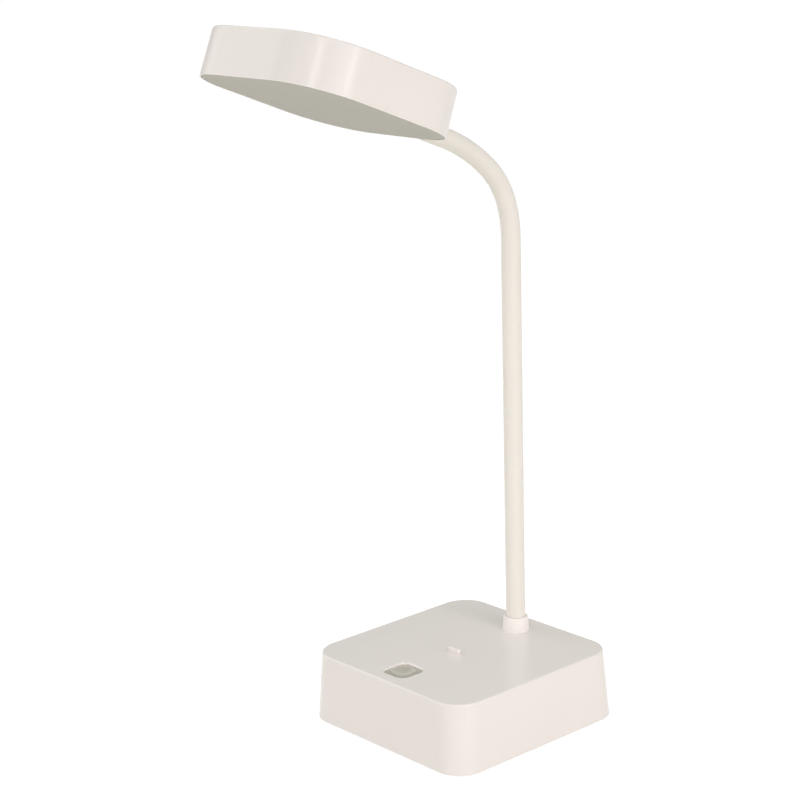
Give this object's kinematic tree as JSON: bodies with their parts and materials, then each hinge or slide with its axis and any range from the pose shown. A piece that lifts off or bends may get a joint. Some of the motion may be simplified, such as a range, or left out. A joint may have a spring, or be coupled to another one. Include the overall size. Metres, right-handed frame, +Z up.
{
  "type": "desk lamp",
  "caption": "Cordless gooseneck desk lamp: a flat rounded-square head on a bendable sleeved neck over a square base with a sunk power key and a phone stop.",
  "frame": {"origin": "centre of the resting face under the base pad", "axes": "+Z up; -Y to the front, where the head reaches out; +X to the right as seen from the front"},
  "size_m": [0.12, 0.1897, 0.3783],
  "materials": {
    "white_abs": "satin",
    "white_collar": "satin",
    "white_silicone": "matte",
    "grey_key": "satin",
    "opal_acrylic": "satin",
    "white_plate": "satin",
    "pad_foam": "matte",
    "plain_steel": "satin",
    "screw_steel": "satin",
    "coil_steel": "satin",
    "nickel_brass": "satin",
    "cell_wrap": "satin",
    "board_green": "satin",
    "board_white": "satin",
    "black_mould": "matte",
    "grey_mould": "matte",
    "lead_pvc": "matte",
    "lead_red": "matte",
    "phosphor": "satin",
    "socket_steel": "satin"
  },
  "bodies": {
    "base": {"ballast_plate": "plain_steel", "ballast_screws": "screw_steel", "base_housing": "white_abs", "base_pad": "pad_foam", "base_plate": "white_plate", "battery_cell": "cell_wrap", "battery_cradle": "black_mould", "battery_leads": "lead_red", "board_screws": "screw_steel", "case_screws": "screw_steel", "charger_chip": "black_mould", "control_board": "board_green", "ferrule_nut": "nickel_brass", "ferrule_washer": "screw_steel", "lead_connectors": "grey_mould", "neck_coil_0": "coil_steel", "neck_collar": "white_collar", "neck_ferrule": "nickel_brass", "neck_lead_0": "lead_pvc", "neck_lead_foot": "lead_pvc", "power_inductor": "black_mould", "switch_board": "board_green", "switch_body": "black_mould", "switch_lead": "lead_pvc", "usb_socket": "socket_steel", "usb_tongue": "black_mould"},
    "button": {"power_button": "grey_key", "switch_plunger": "grey_mould"},
    "neck_1": {"neck_coil_1": "coil_steel", "neck_lead_1": "lead_pvc", "neck_sleeve_1": "white_silicone"},
    "neck_2": {"neck_coil_2": "coil_steel", "neck_lead_2": "lead_pvc", "neck_sleeve_2": "white_silicone"},
    "neck_3": {"neck_coil_3": "coil_steel", "neck_lead_3": "lead_pvc", "neck_sleeve_3": "white_silicone"},
    "neck_4": {"neck_coil_4": "coil_steel", "neck_lead_4": "lead_pvc", "neck_sleeve_4": "white_silicone"},
    "neck_5": {"neck_coil_5": "coil_steel", "neck_lead_5": "lead_pvc", "neck_sleeve_5": "white_silicone"},
    "neck_6": {"neck_coil_6": "coil_steel", "neck_lead_6": "lead_pvc", "neck_sleeve_6": "white_silicone"},
    "head": {"head_housing": "white_abs", "diffuser": "opal_acrylic", "light_board": "board_white", "light_chips": "phosphor", "light_screws": "screw_steel", "neck_fitting": "nickel_brass", "neck_clip": "plain_steel", "head_lead": "lead_pvc", "neck_coil_7": "coil_steel", "neck_lead_7": "lead_pvc", "neck_sleeve_7": "white_silicone"}
  },
  "joints": [
    {"name": "neck_bend_1", "type": "hinge", "parent": "base", "child": "neck_1", "pos_m": [0, 0.0411, 0.0678], "axis": [1, 0, 0], "range_deg": [-10, 10], "deforming": ["neck_sleeve_1"]},
    {"name": "neck_sway_1", "type": "hinge", "parent": "neck_1", "child": "neck_2", "pos_m": [0, 0.04142, 0.11347], "axis": [0, 1, -0.007], "range_deg": [-10, 10], "deforming": ["neck_sleeve_2"]},
    {"name": "neck_bend_2", "type": "hinge", "parent": "neck_2", "child": "neck_3", "pos_m": [0, 0.04174, 0.15915], "axis": [1, 0, 0], "range_deg": [-10, 10], "deforming": ["neck_sleeve_3"]},
    {"name": "neck_sway_2", "type": "hinge", "parent": "neck_3", "child": "neck_4", "pos_m": [0, 0.04206, 0.20482], "axis": [0, 1, -0.007], "range_deg": [-10, 10], "deforming": ["neck_sleeve_4"]},
    {"name": "neck_bend_3", "type": "hinge", "parent": "neck_4", "child": "neck_5", "pos_m": [0, 0.04238, 0.2505], "axis": [1, 0, 0], "range_deg": [-10, 10], "deforming": ["neck_sleeve_5"]},
    {"name": "neck_sway_3", "type": "hinge", "parent": "neck_5", "child": "neck_6", "pos_m": [0, 0.02904, 0.2928], "axis": [0, 0.7233, 0.6906], "range_deg": [-10, 10], "deforming": ["neck_sleeve_6"]},
    {"name": "neck_bend_4", "type": "hinge", "parent": "neck_6", "child": "head", "pos_m": [0, -0.0096, 0.31644], "axis": [1, 0, 0], "range_deg": [-10, 10], "deforming": ["neck_sleeve_7"]},
    {"name": "power_press", "type": "slide", "parent": "base", "child": "button", "axis": [0, 0, 1], "range_m": [-0.0012, 0], "stiffness_N_per_m": 1500, "springref_m": 0.0005}
  ],
  "couplings": [
    {"joint": "neck_bend_2", "follows": "neck_bend_1", "ratio": 1},
    {"joint": "neck_bend_3", "follows": "neck_bend_1", "ratio": 1},
    {"joint": "neck_bend_4", "follows": "neck_bend_1", "ratio": 1},
    {"joint": "neck_sway_2", "follows": "neck_sway_1", "ratio": 1},
    {"joint": "neck_sway_3", "follows": "neck_sway_1", "ratio": 1}
  ]
}
